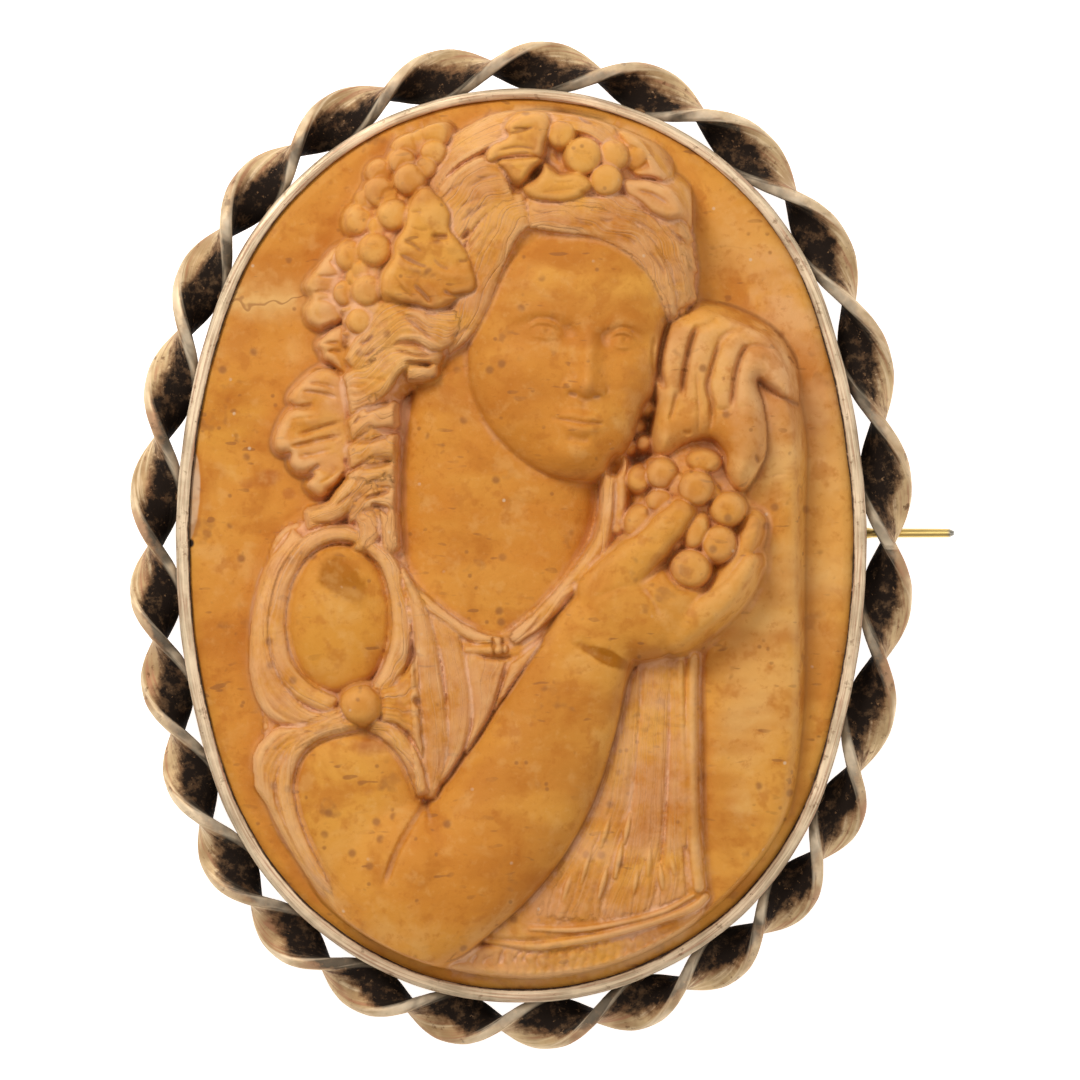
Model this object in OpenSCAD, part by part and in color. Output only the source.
// Cameo brooch: an oval carved stone in a plain bezel, framed by a twisted flat strip,
// with a hook catch, a hinge and a straight pin behind. Units are millimetres.
// The wearer's front is +Z, the top of the oval is +Y, and the origin is the middle of
// the stone's flat back.

/* [Stone] */
// Height of the oval stone
stone_h = 49.6; // [44:0.1:56]
// Width of the oval stone
stone_w = 37.1; // [33:0.1:42]
// Tightness of the oval's two ends: their radius as a share of half the width
end_share = 0.933; // [0.85:0.001:0.96]
// Height of the stone's upright edge
edge_h = 2.7; // [1.8:0.1:4]
// Width of the bevel round the stone's front
bevel_w = 0.6; // [0.3:0.05:1]
// Rise of that bevel
bevel_h = 0.4; // [0.2:0.05:0.8]
// Swell of the ground behind the carving, edge to middle
swell_h = 0.4; // [0:0.1:1.2]
// Height of the carving above the ground
relief_h = 5.8; // [3:0.1:8]

/* [Bezel] */
// Thickness of the bezel's wall
wall_t = 0.55; // [0.4:0.05:1]
// Play between the stone and the bezel's wall
side_gap = 0.1; // [0.05:0.01:0.2]
// Play between the stone and the ledge that it sits on
seat_gap = 0.06; // [0.03:0.01:0.15]
// How far the ledge reaches in under the stone
ledge_w = 1.6; // [1:0.1:3]
// Thickness of the ledge
ledge_t = 0.6; // [0.4:0.05:1]
// How far the rim stands above the stone's upright edge
rim_up = 0.45; // [0.3:0.05:0.8]
// How far the rim's lip leans in over the stone's bevel
lip_in = 0.12; // [0.05:0.01:0.25]
// Width of the rounding on the rim
rim_round = 0.18; // [0.08:0.02:0.24]

/* [Twisted strip] */
// Width of the flat strip
strip_w = 2.9; // [2.2:0.1:3.6]
// Thickness of the flat strip
strip_t = 0.85; // [0.6:0.05:1.2]
// Softening of the strip's corners
strip_corner = 0.2; // [0.1:0.05:0.28]
// How deep the strip is sunk into the bezel's wall where it is soldered
solder_bite = 0.15; // [0.08:0.01:0.25]
// Height of the strip's middle above the stone's back
strip_z = 1.3; // [1:0.1:2]
// Half turns of the strip round the oval
half_turns = 26; // [18:1:34]

/* [Fittings behind] */
// Height of the pin's line above the middle of the oval
pin_y = 0.67; // [-4:0.01:6]
// Depth of the pin's middle below the ledge
pin_drop = 0.85; // [0.8:0.05:1.4]
// Radius of the pin's stem
stem_r = 0.36; // [0.25:0.01:0.45]
// Radius of the stem's free end
tip_r = 0.25; // [0.15:0.01:0.3]
// How far the free end reaches past the bezel
tip_len = 5.2; // [3:0.1:8]
// Play between the stem and the catch
catch_gap = 0.12; // [0.06:0.02:0.2]
// Thickness of the catch's hook
hook_t = 0.4; // [0.3:0.05:0.6]
// Width of the catch along the pin
catch_w = 1.8; // [1:0.1:3]
// Radius of the hinge's rivet
rivet_r = 0.3; // [0.2:0.02:0.4]
// Play between the rivet and the stem's eye
eye_gap = 0.05; // [0.03:0.01:0.1]
// Wall of the stem's eye round the rivet
eye_wall = 0.35; // [0.25:0.05:0.6]
// Width of the stem's eye along the rivet
eye_w = 1.2; // [0.8:0.1:2]
// Play between the eye and the hinge's ears
ear_gap = 0.06; // [0.04:0.01:0.15]
// Thickness of each ear of the hinge
ear_t = 0.6; // [0.4:0.05:1]

/* [Hidden] */
$fn = 96;

stone_color = [0.84, 0.56, 0.25];
gold_color = [0.66, 0.55, 0.38];
pin_color = [0.85, 0.72, 0.35];

// Four arcs make the oval: two flat sides and two tight ends
half_h = stone_h / 2;
half_w = stone_w / 2;
end_r = end_share * half_w;
side_r = (half_h * half_h + half_w * half_w - 2 * half_h * end_r) / (2 * (half_w - end_r));
end_at = half_h - end_r;
side_at = side_r - half_w;
join_angle = atan2(end_at, side_at);
arc_centres = [[-side_at, 0], [0, end_at], [side_at, 0], [0, -end_at], [-side_at, 0]];
arc_radii = [side_r, end_r, side_r, end_r, side_r];
arc_starts = [0, join_angle, 180 - join_angle, 180 + join_angle, 360 - join_angle];
arc_turns = [join_angle, 180 - 2 * join_angle, 2 * join_angle, 180 - 2 * join_angle, join_angle];

function total(list, count) = count <= 0 ? 0 : list[count - 1] + total(list, count - 1);
function arc_length(k, out) = (arc_radii[k] + out) * arc_turns[k] * PI / 180;
function oval_length(out) = total([for (k = [0 : 4]) arc_length(k, out)], 5);

// A place on the oval: share of the way round from +X, and distance outward from the stone
function oval_place(share, out) =
    let (
        lengths = [for (k = [0 : 4]) arc_length(k, out)],
        way = share * oval_length(out),
        k = way < total(lengths, 1) ? 0
            : way < total(lengths, 2) ? 1
            : way < total(lengths, 3) ? 2
            : way < total(lengths, 4) ? 3 : 4,
        r = arc_radii[k] + out,
        turn = arc_starts[k] + (way - total(lengths, k)) / r * 180 / PI
    )
    [arc_centres[k][0] + r * cos(turn), arc_centres[k][1] + r * sin(turn), turn];

// Heights measured from the stone's back
ground_h = edge_h + bevel_h;
ledge_z = -seat_gap - ledge_t;
wall_out = side_gap + wall_t;
rim_z = edge_h + rim_up;
pin_z = ledge_z - pin_drop;

// Carving. Places are in hundredths of half the stone's width and height, radii in
// hundredths of half its width, rises in hundredths of the carving's height.
unit_x = half_w / 100;
unit_y = half_h / 100;
unit_rise = relief_h / 100;

// Broad flat-topped masses: x, y, long radius, short radius, turn, rise
slabs = [
    [-6, -46, 70, 54, -4, 34],      // body under the clothes
    [16, -80, 40, 17, -3, 28],      // tunic's hem
    [-10, 2, 30, 34, 0, 40],        // root of the neck
    [-62, 27, 13, 24, 5, 34],       // leaves behind the hair
    [-56, 56, 12, 18, -15, 34],     // upper leaves behind the hair
    [-40, 68, 15, 36, -20, 52],     // garland of grapes on the left
    [58, 8, 14, 17, 0, 62],         // bunch of grapes in the hands
];

// Rounded masses: x, y, long radius, short radius, turn, rise
masses = [
    [13, 44, 29, 39, -6, 92],       // head
    [13, 70, 38, 36, 0, 84],        // crown of hair
    [-10, 60, 22, 38, 12, 80],      // hair beside the brow
    [-27, 60, 19, 32, 8, 76],       // hair and leaf at the temple
    [-31, 40, 16, 22, 0, 68],       // locks below the temple
    [-43, 22, 11, 20, 10, 54],      // locks beside the neck
    [-50, 8, 15, 8, 25, 42],        // loose tress
    [-8, 14, 28, 34, 0, 56],        // neck
    [-12, -14, 34, 26, 0, 52],      // top of the breast
    [-6, -36, 36, 30, 0, 48],       // breast
    [-52, -19, 27, 36, 0, 58],      // shoulder and sleeve
    [-54, -17, 16, 22, 0, 64],      // shoulder seen in the sleeve's opening
    [-54, -55, 25, 42, 12, 56],     // sleeve's lower folds
    [-46, -62, 21, 36, 16, 62],     // upper arm
    [-46, -36, 7, 7, 0, 74],        // round button
    [30, -52, 27, 44, 4, 40],       // tunic
    [44, -15, 19, 17, 30, 86],      // near palm
    [62, 40, 18, 15, 0, 62],        // back of the far hand
];

// Limbs: x, y, radius, rise at one end, then the same four at the other end
limbs = [
    [-23, -76, 20, 66, 3, -51, 18.5, 74],    // forearm, elbow end
    [3, -51, 18.5, 74, 24, -24, 9.5, 84],    // forearm, wrist end
    [24, -24, 9.5, 84, 40, -13, 14, 86],     // wrist
    [33, -9, 7, 90, 48, 8, 5, 98],           // thumb
    [58, -12, 8, 80, 69, 4, 6, 78],          // curled finger
    [67, 14, 16, 50, 68, -66, 15, 44],       // far arm
    [68, -66, 15, 44, 58, -76, 12, 36],      // far arm's end
    [52, 45, 5, 60, 44, 20, 4.2, 66],        // fingers of the far hand
    [58, 44, 5, 64, 53, 22, 4.2, 70],
    [65, 43, 5, 66, 60, 29, 4.4, 72],
    [73, 40, 6, 64, 66, 12, 5, 72],
    [-20, -72, 3, 70, -39, -60, 3, 66],      // fold between the two arms
];

// Grapes, raised from what they lie on: x, y, radius
grapes = [
    [-25, 90, 4.4], [-33, 88, 4.4], [-26, 87, 4.2], [-34, 84, 4.4], [-33, 80, 4.4],
    [-42, 82, 4.4], [-42, 78, 4.2], [-38, 73, 4.2], [-48, 71, 4.2], [-42, 65, 4.6],
    [-50, 63, 4.2], [-45, 56, 4.4], [-48, 49, 4.4], [12, 90, 4.2], [19, 86, 4.6],
    [27, 86, 4.2], [25, 80, 4.2], [34, 86, 4], [54, 20, 4.6], [52, 12, 5],
    [61, 8, 4.6], [41, 15, 4.2], [42, 10, 4.2], [51, 3, 4.2], [58, 0, 4.4],
    [51, -5, 5.2], [33, 13, 4], [34, 6, 4],
];

// Features of the face, in hundredths of the head's own radii from its middle, right being
// the way that the face is turned: x, y, long radius, short radius, turn, rise or cut
face_turn = -6;
face_forms = [
    [36, 30, 40, 10, 0, 4],         // brow
    [46, -6, 10, 30, -8, 10],       // nose
    [50, -30, 13, 8, 0, 12],        // nose's end
    [42, -48, 18, 5, 0, 8],         // upper lip
    [42, -57, 15, 5, 0, 7],         // lower lip
    [38, -80, 18, 14, 0, 8],        // chin
    [-2, -30, 30, 24, 0, 3],        // near cheek
];
face_cuts = [
    [14, 12, 18, 8, 0, 9],          // near eye's hollow
    [74, 12, 10, 8, 0, 8],          // far eye's hollow
    [42, -52, 18, 2.5, 0, 5],       // line of the mouth
    [40, -67, 14, 4, 0, 4],         // hollow under the lip
];
eyes = [[14, 9, 9, 6, 0, 6], [73, 9, 6, 6, 0, 5]];

// Hollows: x, y, long radius, short radius, turn, depth
hollows = [
    [33, 20, 7, 15, -12, 44],       // drilled hollow between cheek and fingers
    [21, -2, 4, 14, -30, 16],       // beside the neck, under the jaw
    [-38, 13, 3, 18, 0, 14],        // line between neck and hair
    [-52, -37, 22, 3, 0, 12],       // crease round the upper arm
];

// Waves in hair, folds and pleats: x, y, long radius, short radius, turn of the ridges,
// ridges in a hundred units, depth
ripples = [
    [15, 80, 40, 24, 20, 8, 7],     // hair over the crown
    [-8, 58, 18, 32, -40, 9, 7],    // hair beside the brow
    [48, 66, 14, 24, 60, 9, 8],     // hair beyond the brow
    [-31, 40, 16, 20, 50, 8, 8],    // locks
    [-43, 20, 12, 22, 70, 8, 7],    // locks beside the neck
    [-62, 28, 14, 24, 80, 9, 6],    // leaves
    [-70, -36, 14, 26, 60, 9, 7],   // sleeve's outer folds
    [-30, -32, 10, 22, 100, 9, 7],  // sleeve's inner folds
    [-10, -36, 22, 18, 60, 7, 5],   // drapery on the breast
    [34, -56, 26, 40, 4, 10, 6],    // tunic's pleats
    [16, -90, 36, 10, 0, 10, 7],    // fringe
    [68, 36, 10, 14, 0, 9, 6],      // far hand's knuckles
];

function spun(p, turn) = [p[0] * cos(turn) + p[1] * sin(turn), p[1] * cos(turn) - p[0] * sin(turn)];
function inside(p, f, ux, uy, r) =
    let (q = spun([p[0] - f[0] * ux, p[1] - f[1] * uy], f[4]))
    1 - pow(q[0] / (f[2] * r), 2) - pow(q[1] / (f[3] * r), 2);
function mass_rise(p, f) =
    let (s = inside(p, f, unit_x, unit_y, unit_x)) s > 0 ? f[5] * s * (2 - s) : 0;
function slab_rise(p, f) =
    let (s = inside(p, f, unit_x, unit_y, unit_x)) s > 0 ? f[5] * (1 - pow(1 - s, 5)) : 0;
function soft_rise(p, f) =
    let (s = inside(p, f, unit_x, unit_y, unit_x)) s > 0 ? f[5] * s * s : 0;
function grape_rise(p, f) =
    let (d = norm([p[0] - f[0] * unit_x, p[1] - f[1] * unit_y]) / (f[2] * unit_x))
    d < 1 ? f[2] * unit_x / unit_rise * sqrt(1 - d * d) : 0;
function limb_rise(p, f) =
    let (
        a = [f[0] * unit_x, f[1] * unit_y],
        b = [f[4] * unit_x, f[5] * unit_y],
        v = b - a,
        t = max(0, min(1, (p - a) * v / (v * v))),
        r = (f[2] + t * (f[6] - f[2])) * unit_x,
        d = norm(p - a - t * v) / r
    )
    d < 1 ? (f[3] + t * (f[7] - f[3])) * (1 - pow(d, 4)) : 0;
function ripple_cut(p, f) =
    let (
        s = inside(p, [f[0], f[1], f[2], f[3], 0], unit_x, unit_y, unit_x),
        q = spun([p[0] - f[0] * unit_x, p[1] - f[1] * unit_y], f[4])
    )
    s > 0 ? f[6] * min(1, 3 * s) * (0.5 + 0.5 * cos(360 * q[0] / unit_x * f[5] / 100)) : 0;

// The head's frame, for the face
head = masses[0];
function on_head(p) =
    let (q = spun([p[0] - head[0] * unit_x, p[1] - head[1] * unit_y], face_turn))
    [q[0] / (head[2] * unit_x) * 100, q[1] / (head[3] * unit_x) * 100];
function face_sum(q, list) =
    let (parts = [for (f = list) let (s = inside(q, f, 1, 1, 1)) if (s > 0) f[5] * s])
    total(parts, len(parts));

function carved(p) =
    let (
        q = on_head(p),
        base = max([for (f = slabs) slab_rise(p, f)]),
        body = max([for (f = masses) mass_rise(p, f)]),
        arms = max([for (f = limbs) limb_rise(p, f)]),
        fruit = max([for (f = grapes) grape_rise(p, f)]),
        cut = max([for (f = ripples) ripple_cut(p, f)]),
        dug = max([for (f = hollows) soft_rise(p, f)]),
        features = max(abs(q[0]), abs(q[1])) < 110
            ? face_sum(q, face_forms) - face_sum(q, face_cuts) + face_sum(q, eyes) : 0,
        flesh = max(base, body, arms)
    )
    flesh <= 0 ? fruit : max(0, flesh + fruit + (fruit > 0 ? 0 : features - cut) - dug);

// The stone's skin: spokes from one pole to the oval, crossed by rings
spokes = 132;
rings = 34;
pole = [6 * unit_x, 12 * unit_y];
function swell(p) =
    swell_h * max(0, 1 - pow(p[0] / half_w, 2) - pow(p[1] / half_h, 2));
function skin_place(i, j) =
    let (edge = oval_place(i / spokes, -bevel_w))
    pole + (j / rings) * ([edge[0], edge[1]] - pole);
// Each height is blended with its four neighbours, so that steep edges run clean
function blended(h) =
    [for (j = [0 : rings])
        [for (i = [0 : spokes - 1])
            (4 * h[j][i] + h[j][(i + 1) % spokes] + h[j][(i + spokes - 1) % spokes]
            + h[max(0, j - 1)][i] + h[min(rings, j + 1)][i]) / 8]];
function edge_ring(z) =
    [for (i = [0 : spokes - 1]) let (e = oval_place(i / spokes, 0)) [e[0], e[1], z]];

// One skin of quads between neighbouring rings of the same count
function between(first, count, shift) =
    [for (i = [0 : count - 1])
        let (
            n = (i + 1) % count,
            a = first + i,
            b = first + n,
            c = first + count + (n + shift) % count,
            d = first + count + (i + shift) % count
        )
        each [[a, c, b], [a, d, c]]];

module cameo() {
    places = [for (j = [0 : rings]) [for (i = [0 : spokes - 1]) skin_place(i, j)]];
    rises = blended([for (row = places) [for (p = row) carved(p)]]);
    top = [for (j = [1 : rings]) for (i = [0 : spokes - 1])
        let (p = places[j][i])
        [p[0], p[1], ground_h + swell(p) + unit_rise * rises[j][i]]];
    points = concat(
        [[pole[0], pole[1], ground_h + swell(pole) + unit_rise * carved(pole)]],
        top,
        edge_ring(edge_h),
        edge_ring(0)
    );
    last = 1 + (rings + 1) * spokes;
    fan = [for (i = [0 : spokes - 1]) [0, 1 + i, 1 + (i + 1) % spokes]];
    skins = [for (j = [0 : rings]) each between(1 + j * spokes, spokes, 0)];
    back = [[for (i = [0 : spokes - 1]) last + i]];
    color(stone_color)
        polyhedron(points = points, faces = concat(fan, skins, back), convexity = 12);
}

// One profile swept round the four arcs of the oval
module oval_sweep() {
    for (k = [0 : 3]) {
        start = k == 0 ? -join_angle : arc_starts[k];
        turn = k % 2 == 0 ? 2 * join_angle : arc_turns[k];
        translate([arc_centres[k][0], arc_centres[k][1], 0])
            rotate([0, 0, start])
                rotate_extrude(angle = turn)
                    translate([arc_radii[k], 0])
                        children();
    }
}

module bezel_profile() {
    polygon([
        [-ledge_w, ledge_z],
        [wall_out, ledge_z],
        [wall_out, rim_z - rim_round],
        [wall_out - rim_round, rim_z],
        [rim_round / 2 - lip_in, rim_z],
        [-lip_in, rim_z - rim_round / 2],
        [side_gap, edge_h + side_gap],
        [side_gap, -seat_gap],
        [-ledge_w, -seat_gap],
    ]);
}

// How the turns are spread: share of the way round, share of the turns
turn_spread = [[0, 0], [0.18, 0.154], [0.5, 0.462], [0.915, 0.923], [1, 1]];
rings_a_turn = 12;
strip_mid = wall_out - solder_bite + strip_w / 2;
strip_section = [
    for (side = [1, -1])
        each [
            [side * strip_w / 2, side * (strip_corner - strip_t / 2)],
            [side * strip_w / 2, side * (strip_t / 2 - strip_corner)],
            [side * (strip_w / 2 - strip_corner), side * strip_t / 2],
            [side * (strip_corner - strip_w / 2), side * strip_t / 2],
        ]
];
way_of_turn = [for (row = turn_spread) [row[1], row[0]]];

module twisted_strip() {
    corners = len(strip_section);
    count = half_turns * rings_a_turn;
    points = [for (i = [0 : count - 1])
        let (
            o = oval_place(lookup(i / count, way_of_turn), strip_mid),
            turn = 90 + 180 * i / rings_a_turn
        )
        each [for (p = strip_section)
            let (q = spun(p, -turn))
            [o[0] + q[0] * cos(o[2]), o[1] + q[0] * sin(o[2]), strip_z + q[1]]]];
    // An odd number of half turns meets its start upside down
    flip = half_turns % 2 * corners / 2;
    faces = [for (i = [0 : count - 1]) for (j = [0 : corners - 1])
        let (
            closing = i == count - 1,
            k = (j + 1) % corners,
            a = i * corners + j,
            b = i * corners + k,
            c = closing ? (k + flip) % corners : a + corners - j + k,
            d = closing ? (j + flip) % corners : a + corners
        )
        each [[a, b, c], [a, c, d]]];
    polyhedron(points = points, faces = faces, convexity = 12);
}

// Both fittings reach equally deep, so the brooch lies on them evenly
fitting_r = stem_r + catch_gap + hook_t;
ring_mid = (wall_out - ledge_w) / 2;
catch_x = half_w + ring_mid;
hinge_x = -catch_x;
rise_in = ledge_t / 3;

module catch() {
    inner = stem_r + catch_gap;
    translate([catch_x - catch_w / 2, pin_y, pin_z])
        rotate([90, 0, 90])
            linear_extrude(catch_w) {
                difference() {
                    circle(r = fitting_r);
                    circle(r = inner);
                    translate([-2 * fitting_r, tip_r / 2])
                        square([4 * fitting_r, 2 * fitting_r]);
                }
                translate([inner, 0])
                    square([hook_t, pin_drop + rise_in]);
            }
}

module hinge() {
    span = eye_w / 2 + ear_gap;
    for (side = [1, -1])
        translate([hinge_x, pin_y + side * (span + ear_t / 2), pin_z])
            rotate([90, 0, 0])
                linear_extrude(ear_t, center = true) {
                    circle(r = fitting_r);
                    translate([-fitting_r, 0])
                        square([2 * fitting_r, pin_drop + rise_in]);
                }
    translate([hinge_x, pin_y, pin_z])
        rotate([90, 0, 0])
            cylinder(r = rivet_r, h = 2 * span + ear_t, center = true);
}

module setting() {
    color(gold_color)
        union() {
            oval_sweep() bezel_profile();
            twisted_strip();
            catch();
            hinge();
        }
}

module pin_stem() {
    bore_r = rivet_r + eye_gap;
    eye_r = bore_r + eye_wall;
    taper = 3 * (stem_r - tip_r) + tip_r;
    free_x = catch_x + catch_w / 2 + 2 * catch_gap;
    tip_x = half_w + wall_out + tip_len;
    color(pin_color)
        difference() {
            union() {
                translate([hinge_x, pin_y, pin_z])
                    rotate([90, 0, 0])
                        cylinder(r = eye_r, h = eye_w, center = true);
                translate([hinge_x + bore_r + eye_wall / 2, pin_y, pin_z])
                    rotate([0, 90, 0])
                        cylinder(r = stem_r, h = free_x - hinge_x - bore_r - eye_wall / 2);
                translate([free_x, pin_y, pin_z])
                    rotate([0, 90, 0])
                        cylinder(r1 = stem_r, r2 = tip_r, h = taper);
                translate([free_x + taper, pin_y, pin_z])
                    rotate([0, 90, 0])
                        cylinder(r = tip_r, h = tip_x - free_x - taper - tip_r);
                translate([tip_x - tip_r, pin_y, pin_z])
                    rotate([0, 90, 0])
                        cylinder(r1 = tip_r, r2 = tip_r / 2, h = tip_r);
            }
            translate([hinge_x, pin_y, pin_z])
                rotate([90, 0, 0])
                    cylinder(r = bore_r, h = 2 * eye_w, center = true);
        }
}

cameo();
setting();
pin_stem();
